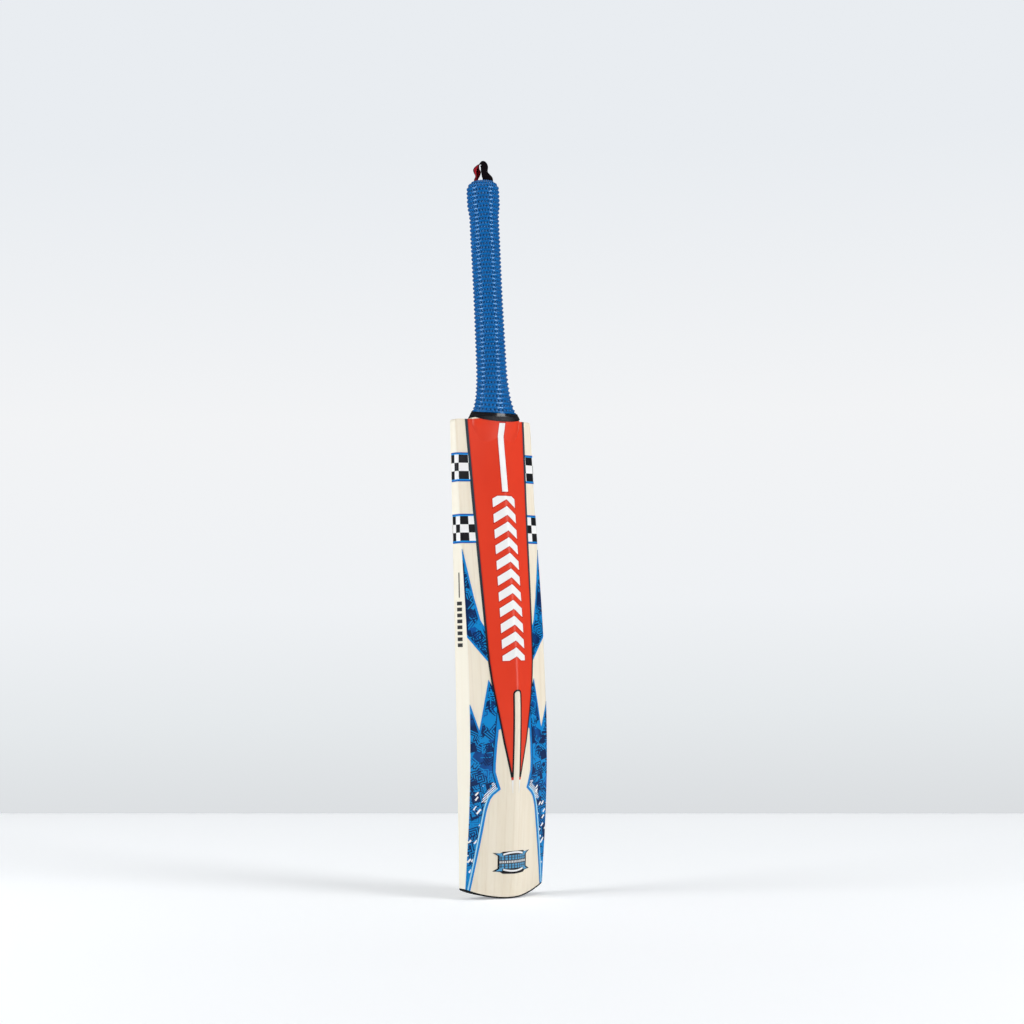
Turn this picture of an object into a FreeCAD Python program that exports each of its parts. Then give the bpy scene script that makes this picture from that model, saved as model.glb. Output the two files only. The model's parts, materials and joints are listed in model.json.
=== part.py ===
"""Full-size, short-handle cricket bat, in millimetres.

+Z runs up the blade from the toe to the handle, the flat hitting face looks along +Y,
the ridged back looks along -Y, and +X is to the right when the back is looked at.
The origin is at the middle of the bounding box in X and Y, at the bottom of the toe.
"""
import FreeCAD, Part
import math
import os
from FreeCAD import Matrix, Placement, Rotation, Vector

# ---- Blade ---------------------------------------------------------------------------
BLADE_WIDTH = 108.0
BLADE_TOP = 556.0           # height of the shoulders
FACE_PLANE = 15.87          # y of the chord plane that the face's two ends touch
FACE_BOW = 1.2              # how far the face is hollowed towards the back, lengthwise
FACE_CROWN = 1.2            # how far the face bulges across its width
FACE_CORNER = 2.5           # rounding of the edges of the face
BACK_CORNER = 3.0           # rounding where an edge turns into the back
SHOULDER_CORNER = 4.0
TOE_RADIUS = 132.0          # the toe is one arc across the width
TOE_GUARD = 1.8             # thickness of the rubber under the toe

# height, depth of the edge and of the spine behind the face's chord plane,
# half-width of the rounded top of the spine, hollowness of the flanks
BLADE_STATIONS = (
    (-6.0, 12.4, 30.6, 18.0, 0.00),
    (70.0, 22.2, 39.4, 6.0, 0.20),
    (152.0, 29.9, 47.0, 3.5, 0.30),
    (234.0, 31.2, 52.0, 3.5, 0.30),
    (304.0, 28.5, 48.8, 3.5, 0.30),
    (411.0, 20.5, 40.0, 3.5, 0.30),
    (483.0, 15.7, 33.8, 3.5, 0.30),
    (556.0, 11.5, 27.0, 4.0, 0.25),
)

# ---- Handle --------------------------------------------------------------------------
HANDLE_TILT = 2.8           # degrees that the handle leans towards the face
HANDLE_FOOT = Vector(0.0, 2.27, 556.0)   # the handle's axis crosses the shoulders here
GRIP_TOP = 290.0            # heights from here on are measured along the handle
BUTT_RADIUS = 19.8          # the round, parallel butt of the grip
BUTT_BOTTOM = 261.0
BUTT_ROUNDING = 12.0
BUTT_OPENING = 12.0         # radius of the hole that the hang loop comes out of
GRIP_THICKNESS = 2.2
TWINE_THICKNESS = 0.8
WRAPPING = GRIP_THICKNESS + TWINE_THICKNESS
CANE_TOP = GRIP_TOP - WRAPPING
CANE_ROUNDING = 8.0

# height along the handle, half-width along X and half-depth along Y of the grip
GRIP_STATIONS = (
    (3.0, 32.4, 20.0),
    (7.0, 29.9, 20.0),
    (11.0, 27.5, 20.0),
    (17.0, 25.4, 19.5),
    (25.0, 23.0, 18.9),
    (37.0, 20.9, 18.3),
    (50.0, 19.4, 17.9),
    (75.0, 18.6, 17.7),
    (105.0, 18.2, 17.6),
    (140.0, 17.7, 17.7),
    (190.0, 17.8, 17.8),
    (240.0, 17.9, 17.9),
    (248.0, 18.1, 18.1),
    (254.0, 19.0, 19.0),
    (258.0, 19.6, 19.6),
    (261.0, 19.8, 19.8),
)
TWINE_LENGTHS = ((14.0, 95.0), (98.0, 190.0), (193.0, 276.0))

# ---- Neck and collar, heights along the handle ---------------------------------------
FOOT_SLOPE = 0.22           # the joint's planes run down towards the back, this much a millimetre
GRIP_FOOT = 9.4             # height of the grip's foot on the handle's axis
NECK_TOP = 3.5
COLLAR_THICKNESS = 1.0
# height, half-width and half-depth of the tape's outside
COLLAR_STATIONS = ((-8.5, 34.4, 17.0), (1.2, 34.4, 20.6), (13.5, 26.6, 20.6))
NECK_ROOT = (-34.0, 26.0, 9.0)
TAPE_FOOT = 1.3             # the tape's lower edge at the sides
TAPE_DIP_START = 8.0        # from here outwards the lower edge runs down, at the back and the front
TAPE_DIP_SLOPE = 0.53

# ---- Splice and cane -----------------------------------------------------------------
SPLICE_TOP = 11.5           # height above the shoulders of the V's wide end
SPLICE_HALF_WIDTH = 27.5
SPLICE_POINT = 430.0        # height of the V's point above the toe
SPRING_THICKNESS = 1.6
SPRING_PITCH = 8.6          # distance between the three rubber springs
CANE_COLUMN = 10.4          # width of the middle column of cane strips
FAR = 60.0                  # more than any half-size across the bat

# ---- Labels --------------------------------------------------------------------------
VINYL = 0.4                 # thickness of every label
# half-width of the spine label at heights above the toe, from its top to its tips
SPINE_LABEL = ((560.0, 41.8), (470.0, 38.9), (355.0, 35.0), (290.0, 32.6), (272.0, 31.4),
               (250.0, 28.9), (226.0, 25.0), (180.0, 16.2), (134.0, 5.6), (121.0, 4.3))
SPINE_LABEL_TOP = BLADE_TOP - 0.2
SLOT_HALF_WIDTH = 4.0
SLOT_TOP = 238.0
BAND_HEIGHTS = ((482.0, 516.0), (410.0, 444.0))    # bottom and top of each chequered band
BAND_INNER = 30.0           # the bands run in under the spine label
FLANK_OUTER = 53.4          # the flank labels stop where the back turns into the edges
UPPER_FLANK = ((FLANK_OUTER, 403.0), (50.4, 387.0), (43.6, 348.0), (37.4, 320.0), (30.0, 306.0),
               (30.0, 273.2), (32.0, 273.2), (FLANK_OUTER, 300.6))
LOWER_FLANK = ((FLANK_OUTER, 224.0), (43.3, 194.0), (31.8, 252.0), (20.0, 228.0), (18.0, 196.0))
LOWER_FLANK_STEP = ((21.6, 194.0), (23.2, 176.0), (24.4, 156.0), (24.3, 146.0), (21.0, 134.6),
                    (18.0, 126.0))
LOWER_FLANK_TAIL = ((26.4, 119.4), (29.6, 115.0), (32.0, 108.0), (34.0, 100.0), (36.5, 84.0),
                    (48.8, 10.0), (FLANK_OUTER, 10.0))
# right half of the winged badge near the toe, from the top of the ridge to the bottom
BADGE = ((0.0, 54.6), (14.0, 54.2), (17.0, 52.6), (25.3, 53.6), (19.5, 49.8), (19.5, 35.6), (25.3, 32.4),
         (17.0, 31.4), (14.0, 29.2), (0.0, 28.4))
EDGE_MARK_HEIGHTS = (290.0, 345.0)
EDGE_MARK_COUNT = 8
EDGE_MARK_FILL = 0.62       # share of each mark's pitch that is printed
EDGE_MARK_DEPTHS = (9.5, 19.5)           # from the chord plane of the face
EDGE_LINE = (347.0, 376.0)

# ---- Hang loop, in the handle's own frame --------------------------------------------
LOOP_WIDTH = 11.0
LOOP_THICKNESS = 1.2
LOOP_RADIUS = 7.5           # outside of the bend at the top
LOOP_CENTRE = -2.4
LOOP_TOP = 314.5

HALF = BLADE_WIDTH / 2
TOLERANCE = 0.001


def save(shape, node):
    """Writes one sub-part and says how many solids it has."""
    shape = shape.Solids[0] if len(shape.Solids) == 1 else shape
    shape.exportStep("parts/" + node + ".step")
    print(node, "solids", len(shape.Solids), "volume", round(shape.Volume, 1),
          "valid", shape.isValid())


def line(start, end):
    return Part.LineSegment(start, end).toShape()


def bend(start, pull, end):
    """A parabolic arc from start to end, tangent to both lines to pull."""
    curve = Part.BezierCurve()
    curve.setPoles([start, pull, end])
    return curve.toShape()


def overlap(shape, tool):
    """What two solids share, where some of their faces very nearly coincide."""
    return shape.common([tool], TOLERANCE)


def prism(points, direction):
    """A solid from a closed polygon, swept along direction."""
    return Part.Face(Part.makePolygon(list(points) + [points[0]])).extrude(direction)


def box_between(low, high):
    size = high - low
    return Part.makeBox(size.x, size.y, size.z, low)


# ---- Blade ---------------------------------------------------------------------------
def face_depth(height):
    """How far the edge of the face lies behind its chord plane."""
    return FACE_BOW * math.sin(math.pi * min(max(height / BLADE_TOP, 0.0), 1.0))


def blade_section(station, grow):
    """The closed outline of the blade at one height, enlarged all round by grow."""
    height, edge_depth, spine_depth, crest, hollow = station
    half = HALF + grow
    face = FACE_PLANE - face_depth(height) + grow
    edge = FACE_PLANE - edge_depth - grow
    spine = FACE_PLANE - spine_depth - grow
    rise = edge - spine

    def flank(x):
        u = 1 - x / half
        return edge - rise * ((1 - hollow) * u + hollow * u * u)

    def slope(x):
        u = 1 - x / half
        return rise / half * ((1 - hollow) + 2 * hollow * u)

    def at(x, y):
        return Vector(x, y, height)

    outer = half - BACK_CORNER
    crest_y = flank(crest)
    outer_y = flank(outer)
    # The two ends' tangents of a parabola cross midway between them
    middle = (crest + outer) / 2
    middle_y = crest_y + slope(crest) * (middle - crest)
    edges = [
        bend(at(-half + FACE_CORNER, face), at(0, face + 2 * FACE_CROWN), at(half - FACE_CORNER, face)),
        bend(at(half - FACE_CORNER, face), at(half, face), at(half, face - FACE_CORNER)),
        line(at(half, face - FACE_CORNER), at(half, edge + BACK_CORNER)),
        bend(at(half, edge + BACK_CORNER), at(half, edge), at(outer, outer_y)),
        bend(at(outer, outer_y), at(middle, middle_y), at(crest, crest_y)),
        bend(at(crest, crest_y), at(0, crest_y - slope(crest) * crest), at(-crest, crest_y)),
        bend(at(-crest, crest_y), at(-middle, middle_y), at(-outer, outer_y)),
        bend(at(-outer, outer_y), at(-half, edge), at(-half, edge + BACK_CORNER)),
        line(at(-half, edge + BACK_CORNER), at(-half, face - FACE_CORNER)),
        bend(at(-half, face - FACE_CORNER), at(-half, face), at(-half + FACE_CORNER, face)),
    ]
    return Part.Wire(edges)


def on_handle(shape):
    """Moves a shape made on the Z axis to the leaning handle."""
    placed = shape.copy()
    placed.Placement = Placement(HANDLE_FOOT, Rotation(Vector(1, 0, 0), -HANDLE_TILT))
    return placed


def oval_wire(height, half_width, half_depth):
    """An oval round the Z axis: a circle stretched along X and Y."""
    stretch = Matrix()
    stretch.scale(half_width, half_depth, 1)
    stretch.move(Vector(0, 0, height))
    return Part.Wire([Part.makeCircle(1).transformGeometry(stretch)])


def oval_loft(stations, grow, ruled=False):
    wires = [oval_wire(z, a + grow, b + grow) for z, a, b in stations]
    return Part.makeLoft(wires, True, ruled)


def foot_plane(height, end):
    """A block on one side of a plane that runs down towards the back; the other limit is at end."""
    rise = FOOT_SLOPE * FAR
    points = [Vector(-FAR, -FAR, height - rise), Vector(-FAR, FAR, height + rise),
              Vector(-FAR, FAR, end), Vector(-FAR, -FAR, end)]
    return prism(points, Vector(2 * FAR, 0, 0))


def neck(grow):
    """The willow swells into an oval cone where it meets the handle."""
    root, waist, top = COLLAR_STATIONS
    share = (NECK_TOP - waist[0]) / (top[0] - waist[0])
    end = (NECK_TOP, waist[1] + (top[1] - waist[1]) * share, waist[2])
    return on_handle(oval_loft((NECK_ROOT, root, waist, end), grow - COLLAR_THICKNESS, ruled=True))


def shoulder_cutters():
    """What rounds the blade's two shoulders off."""
    centre_x = HALF - SHOULDER_CORNER
    centre_z = BLADE_TOP - SHOULDER_CORNER
    cutters = []
    for side in (-1, 1):
        near, far = sorted((side * centre_x, side * (HALF + 1)))
        block = box_between(Vector(near, -FAR, centre_z), Vector(far, FAR, BLADE_TOP + 1))
        round_rod = Part.makeCylinder(SHOULDER_CORNER, 2 * FAR, Vector(side * centre_x, -FAR, centre_z),
                                      Vector(0, 1, 0))
        cutters.append(block.cut(round_rod))
    return cutters


def toe_rod(radius):
    """A rod across the blade whose underside is the toe's arc."""
    return Part.makeCylinder(radius, 2 * FAR, Vector(0, -FAR, TOE_RADIUS), Vector(0, 1, 0))


def above_toe(shape, radius):
    """Cuts a shape along the toe's arc, keeping all that is above the arc's centre."""
    low = shape.common(toe_rod(radius))
    high = shape.common(box_between(Vector(-FAR, -FAR, TOE_RADIUS / 2), Vector(FAR, FAR, 700)))
    return low.fuse(high).removeSplitter()


def blade_loft(grow):
    return Part.makeLoft([blade_section(s, grow) for s in BLADE_STATIONS], True, False)


def blade_body():
    """The blade's outer form with its neck, and with the handle's splice still filled."""
    body = blade_loft(0)
    for cutter in shoulder_cutters():
        body = body.cut(cutter)
    return body.fuse(neck(0)).removeSplitter()


def splice():
    """The V-shaped wedge that the handle fills, right through the blade."""
    top = BLADE_TOP + SPLICE_TOP
    points = [Vector(-SPLICE_HALF_WIDTH, -FAR, top), Vector(SPLICE_HALF_WIDTH, -FAR, top),
              Vector(0, -FAR, SPLICE_POINT)]
    return prism(points, Vector(0, 2 * FAR, 0))


# ---- Handle --------------------------------------------------------------------------
def top_rim(shape, height):
    """The outer edge of the round top of a shape that stands on the Z axis."""
    return [e for e in shape.Edges
            if e.BoundBox.ZMin > height - 0.01 and e.BoundBox.XLength > BUTT_RADIUS]


def handle_core(body):
    """All of the cane and springs in one: the shaft under the grip and the splice's tongue."""
    foot = tuple((height, 27.5, 20.0) for height in (-1.0, 5.0, 11.0))
    butt = tuple((height, BUTT_RADIUS, BUTT_RADIUS) for height in (267.0, 275.0, CANE_TOP))
    shaft = oval_loft(foot + GRIP_STATIONS[3:] + butt, -WRAPPING)
    shaft = shaft.makeFillet(CANE_ROUNDING, top_rim(shaft, CANE_TOP))
    tongue = body.common(splice())
    return tongue.fuse(on_handle(shaft)).removeSplitter()


def layer_limits():
    """The near and far y of the four layers of cane and of the three springs between them."""
    springs = [((n - 1) * SPRING_PITCH - SPRING_THICKNESS / 2, (n - 1) * SPRING_PITCH + SPRING_THICKNESS / 2)
               for n in range(3)]
    cuts = [-FAR] + [y for spring in springs for y in spring] + [FAR]
    layers = [(cuts[2 * n], cuts[2 * n + 1]) for n in range(4)]
    return layers, springs


def slab(core, x_limits, y_limits):
    low = Vector(x_limits[0], y_limits[0], -300)
    high = Vector(x_limits[1], y_limits[1], 400)
    return overlap(core, on_handle(box_between(low, high)))


def make_handle(core):
    layers, springs = layer_limits()
    columns = ((-FAR, -CANE_COLUMN / 2), (-CANE_COLUMN / 2, CANE_COLUMN / 2), (CANE_COLUMN / 2, FAR))
    layer_names = ("back", "rear_inner", "front_inner", "front")
    column_names = ("left", "middle", "right")
    for layer, layer_name in zip(layers, layer_names):
        for column, column_name in zip(columns, column_names):
            save(slab(core, column, layer), "cane_strip_" + layer_name + "_" + column_name)
    for spring, spring_name in zip(springs, ("back", "middle", "front")):
        save(slab(core, (-FAR, FAR), spring), "rubber_spring_" + spring_name)


def wrapped_form(grow):
    """The shaft under the grip, thicker all round by grow, from the grip's foot to its top."""
    top = GRIP_TOP + grow
    shaft = oval_loft(GRIP_STATIONS, grow)
    butt = Part.makeCylinder(BUTT_RADIUS + grow, top - BUTT_BOTTOM, Vector(0, 0, BUTT_BOTTOM))
    form = shaft.fuse(butt).removeSplitter()
    return form.makeFillet(BUTT_ROUNDING + grow, top_rim(form, top))


def make_twine():
    """Waxed twine wound tightly round the cane, in three lengths."""
    outer = wrapped_form(-GRIP_THICKNESS)
    inner = wrapped_form(-WRAPPING)
    sleeve = outer.cut(inner)
    for (low, high), name in zip(TWINE_LENGTHS, ("lower", "middle", "upper")):
        length = box_between(Vector(-FAR, -FAR, low), Vector(FAR, FAR, high))
        save(on_handle(sleeve.common(length)), "twine_binding_" + name)


def make_grip():
    """One rubber sleeve that folds over the rounded top of the cane."""
    sleeve = wrapped_form(0).cut(wrapped_form(-GRIP_THICKNESS))
    hole = Part.makeCylinder(BUTT_OPENING, GRIP_TOP, Vector(0, 0, BUTT_BOTTOM + BUTT_ROUNDING))
    save(on_handle(sleeve.cut(hole).common(foot_plane(GRIP_FOOT, GRIP_TOP + FAR))), "rubber_grip")


def collar():
    """Glossy tape round the neck, from the foot of the grip to the top of the blade's back and face."""
    outside = oval_loft(COLLAR_STATIONS, 0, ruled=True)
    ring = outside.cut(oval_loft(COLLAR_STATIONS, -COLLAR_THICKNESS, ruled=True))
    low = TAPE_FOOT - TAPE_DIP_SLOPE * (FAR - TAPE_DIP_START)
    profile = ((-FAR, low), (-TAPE_DIP_START, TAPE_FOOT), (TAPE_DIP_START, TAPE_FOOT), (FAR, low),
               (FAR, FAR), (-FAR, FAR))
    tape = ring.common(prism([Vector(-FAR, y, z) for y, z in profile], Vector(2 * FAR, 0, 0)))
    tape = tape.common(foot_plane(GRIP_FOOT, -FAR))
    return on_handle(tape).cut(blade_loft(0))


def make_hang_loop(core):
    """A strip of ribbon bent over into an eye, with both ends on the top of the cane."""
    bend_height = LOOP_TOP - LOOP_RADIUS

    def arch(radius):
        disc = Part.makeCylinder(radius, LOOP_WIDTH, Vector(LOOP_CENTRE, -LOOP_WIDTH / 2, bend_height),
                                 Vector(0, 1, 0))
        legs = box_between(Vector(LOOP_CENTRE - radius, -LOOP_WIDTH / 2, CANE_TOP - CANE_ROUNDING),
                           Vector(LOOP_CENTRE + radius, LOOP_WIDTH / 2, bend_height))
        return disc.fuse(legs).removeSplitter()

    ribbon = arch(LOOP_RADIUS).cut(arch(LOOP_RADIUS - LOOP_THICKNESS))
    save(on_handle(ribbon).cut(core), "hang_loop")


# ---- Labels --------------------------------------------------------------------------
def back_prism(outline):
    """A solid through the back of the blade from an outline of (x, height) points."""
    points = [Vector(x, -FAR, z) for x, z in outline]
    return prism(points, Vector(0, FAR + FACE_PLANE - 5, 0))


def mirrored(outline, side):
    return [(side * x, z) for x, z in outline]


def spine_outline():
    """Both sides of the label, then the slot that runs up between its two tips."""
    right = list(SPINE_LABEL)
    left = [(-x, z) for z, x in reversed(SPINE_LABEL)]
    return [(x, z) for z, x in right] + left


def slot_cutter():
    """A round-topped slot along the ridge, open at its lower end."""
    top = SLOT_TOP - SLOT_HALF_WIDTH
    block = box_between(Vector(-SLOT_HALF_WIDTH, -FAR, 100), Vector(SLOT_HALF_WIDTH, 0, top))
    rod = Part.makeCylinder(SLOT_HALF_WIDTH, FAR, Vector(0, -FAR, top), Vector(0, 1, 0))
    return block.fuse(rod)


def make_labels(tape):
    blade, grown_blade = blade_loft(0), blade_loft(VINYL)
    root, grown_root = neck(0), neck(VINYL)

    def vinyl(form):
        """The part of a form that lies within a vinyl's thickness of the blade."""
        return grown_blade.common(form).cut(blade).cut(root)

    def label(form, node):
        save(vinyl(form), node)

    # The spine label is the only one that also climbs the neck
    below_collar = box_between(Vector(-FAR, -FAR, 0), Vector(FAR, FAR, SPINE_LABEL_TOP))
    spine = back_prism(spine_outline()).common(below_collar)
    spine_form = spine.cut(slot_cutter())
    climb = grown_root.common(spine_form).cut(root).cut(blade)
    save(vinyl(spine_form).fuse(climb).cut(tape).removeSplitter(), "spine_label")

    face_limit = FACE_PLANE - FACE_CORNER - face_depth(BAND_HEIGHTS[1][0])
    lower_outline = LOWER_FLANK + LOWER_FLANK_STEP + LOWER_FLANK_TAIL
    for side, side_name in ((-1, "left"), (1, "right")):
        for (low, high), band_name in zip(BAND_HEIGHTS, ("upper", "lower")):
            near, far = sorted((side * BAND_INNER, side * (HALF + 1)))
            band = box_between(Vector(near, -FAR, low), Vector(far, face_limit, high))
            label(band.cut(spine), "chequer_band_" + band_name + "_" + side_name)
        for outline, flank_name in ((UPPER_FLANK, "upper"), (lower_outline, "lower")):
            flank = back_prism(mirrored(outline, side)).cut(spine)
            label(above_toe(flank, TOE_RADIUS - TOE_GUARD), "flank_label_" + flank_name + "_" + side_name)

    label(back_prism(BADGE + tuple(reversed(mirrored(BADGE[1:-1], -1)))), "toe_badge")
    label(edge_marks(), "edge_marks")


def edge_marks():
    """A row of plain bars and one long line, for the left edge."""
    near, far = (FACE_PLANE - depth for depth in EDGE_MARK_DEPTHS)
    low, high = EDGE_MARK_HEIGHTS
    pitch = (high - low) / EDGE_MARK_COUNT
    bars = []
    for n in range(EDGE_MARK_COUNT):
        foot = low + n * pitch
        bars.append(box_between(Vector(-HALF - 1, far, foot),
                                Vector(-HALF + 0.01, near, foot + pitch * EDGE_MARK_FILL)))
    middle = (near + far) / 2
    bars.append(box_between(Vector(-HALF - 1, middle - 0.8, EDGE_LINE[0]),
                            Vector(-HALF + 0.01, middle + 0.8, EDGE_LINE[1])))
    return Part.makeCompound(bars)


# ---- The whole bat -------------------------------------------------------------------
def main():
    os.makedirs("parts", exist_ok=True)
    body = blade_body()
    core = handle_core(body)
    willow = above_toe(body, TOE_RADIUS - TOE_GUARD)
    save(willow.cut(splice()), "willow_blade")
    guard = body.common(toe_rod(TOE_RADIUS)).cut(willow)
    save(guard, "toe_guard")
    make_handle(core)
    make_twine()
    make_grip()
    make_hang_loop(core)
    tape = collar()
    save(tape, "collar_tape")
    make_labels(tape)


main()
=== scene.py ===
"""Looks of a full-size cricket bat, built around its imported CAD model.

Everything is in metres, in the row's frame: +Z runs up the blade, the flat hitting face looks
along +Y and the ridged back along -Y. Artwork on the blade is laid out in millimetres.
"""

import json
import math

import bpy
from mathutils import Matrix, Vector
from mathutils.bvhtree import BVHTree


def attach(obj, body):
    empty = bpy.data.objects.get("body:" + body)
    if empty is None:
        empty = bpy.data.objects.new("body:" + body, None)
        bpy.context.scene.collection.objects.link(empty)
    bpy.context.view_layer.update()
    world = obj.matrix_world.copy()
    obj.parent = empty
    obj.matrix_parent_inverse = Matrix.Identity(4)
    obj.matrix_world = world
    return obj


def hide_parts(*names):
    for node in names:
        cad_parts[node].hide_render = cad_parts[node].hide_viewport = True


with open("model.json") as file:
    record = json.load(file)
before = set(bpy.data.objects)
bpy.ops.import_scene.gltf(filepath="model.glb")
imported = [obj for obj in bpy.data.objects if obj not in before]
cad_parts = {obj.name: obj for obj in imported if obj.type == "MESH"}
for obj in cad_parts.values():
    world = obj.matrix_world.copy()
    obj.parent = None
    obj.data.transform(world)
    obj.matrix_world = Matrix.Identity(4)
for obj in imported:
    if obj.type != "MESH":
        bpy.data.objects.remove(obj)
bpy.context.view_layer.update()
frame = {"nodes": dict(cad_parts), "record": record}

MM = 0.001
NODES = frame["nodes"]
BUTT = next(m for m in frame["record"]["mounts"] if m["name"] == "butt")
HANDLE_UP = Vector(BUTT["axis"]).normalized()
HANDLE_RIGHT = Vector((1, 0, 0))
HANDLE_FRONT = HANDLE_UP.cross(HANDLE_RIGHT)

# ---- Colours, linear ----------------------------------------------------------------
WILLOW_PALE = (0.86, 0.785, 0.65)
# painted light: the paler tone laid over both thick edges of the blade
WILLOW_EDGE_PAINTED_LIGHT = (0.90, 0.87, 0.76)
WILLOW_MID = (0.80, 0.71, 0.555)
WILLOW_DARK = (0.60, 0.48, 0.33)
CANE_PALE = (0.70, 0.52, 0.30)
CANE_MID = (0.58, 0.40, 0.21)
CANE_DARK = (0.36, 0.22, 0.10)
RED = (0.75, 0.050, 0.020)
RED_DEEP = (0.66, 0.038, 0.016)
RED_SHADE = (0.50, 0.018, 0.010)
WHITE = (0.86, 0.86, 0.86)
BLACK = (0.008, 0.008, 0.010)
SOOT = (0.022, 0.022, 0.026)
SLATE = (0.030, 0.045, 0.060)
LINE_DARK_BLUE = (0.004, 0.075, 0.38)
LINE_LIGHT_BLUE = (0.010, 0.27, 0.72)
FLANK_NAVY = (0.002, 0.020, 0.090)
FLANK_BLUE = (0.003, 0.085, 0.34)
FLANK_AZURE = (0.003, 0.240, 0.60)
BORDER_BLUE = (0.003, 0.215, 0.60)
PALE_CYAN = (0.36, 0.66, 0.80)
BADGE_PLATE = (0.050, 0.062, 0.075)
BADGE_BLUE = (0.085, 0.32, 0.56)
GRIP_BLUE = (0.002, 0.125, 0.41)
GRIP_BRIGHT = (0.003, 0.155, 0.48)
# painted shade: the colour the grip takes in the pits between its nubs
GRIP_PAINTED_SHADE = (0.0006, 0.012, 0.055)
GRIP_SHINE = (0.50, 0.80, 1.0)
RIBBON_BLACK = (0.004, 0.002, 0.003)
RIBBON_LINT = (0.010, 0.007, 0.009)
RIBBON_RED = (0.40, 0.018, 0.030)
TWINE_PALE = (0.60, 0.46, 0.28)
TWINE_MID = (0.44, 0.32, 0.18)
TWINE_DARK = (0.16, 0.10, 0.05)


# ---- Numbers and colours that vary over a surface -------------------------------------
class Field:
    """A number that varies over a surface. Arithmetic with it adds Math nodes to its material."""

    def __init__(self, tree, socket):
        self.tree = tree
        self.socket = socket

    def maths(self, operation, *others):
        node = self.tree.nodes.new("ShaderNodeMath")
        node.operation = operation
        for socket, value in zip(node.inputs, (self,) + others):
            feed(self.tree, value, socket)
        return Field(self.tree, node.outputs[0])

    def __add__(self, other):
        return self.maths("ADD", other)

    def __sub__(self, other):
        return self.maths("SUBTRACT", other)

    def __rsub__(self, other):
        return (self * -1) + other

    def __mul__(self, other):
        return self.maths("MULTIPLY", other)

    def __truediv__(self, other):
        return self.maths("DIVIDE", other)

    def __abs__(self):
        return self.maths("ABSOLUTE")

    def part(self):
        """What is left over a whole number."""
        return self.maths("FRACT")

    def whole(self):
        return self.maths("FLOOR")

    def root(self):
        return self.maths("SQRT")

    def above(self, limit):
        return self.maths("GREATER_THAN", limit)

    def below(self, limit):
        return self.maths("LESS_THAN", limit)

    def between(self, low, high):
        return self.above(low) * self.below(high)

    def least(self, other):
        return self.maths("MINIMUM", other)

    def most(self, other):
        return self.maths("MAXIMUM", other)

    def spread(self, low, high):
        """0 at low, 1 at high, a straight line between them."""
        node = self.tree.nodes.new("ShaderNodeMapRange")
        node.inputs["From Min"].default_value = low
        node.inputs["From Max"].default_value = high
        feed(self.tree, self, node.inputs["Value"])
        return Field(self.tree, node.outputs[0])


def feed(tree, value, socket):
    if isinstance(value, Field):
        tree.links.new(value.socket, socket)
    elif isinstance(value, bpy.types.NodeSocket):
        tree.links.new(value, socket)
    elif isinstance(value, tuple) and len(socket.default_value) == 4:
        socket.default_value = value + (1.0,)
    else:
        socket.default_value = value


def either(first, second):
    return first.most(second)


def odd(number):
    """1 where a whole number is odd, and 0 where it is even."""
    return (number * 0.5).part().above(0.25)


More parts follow.
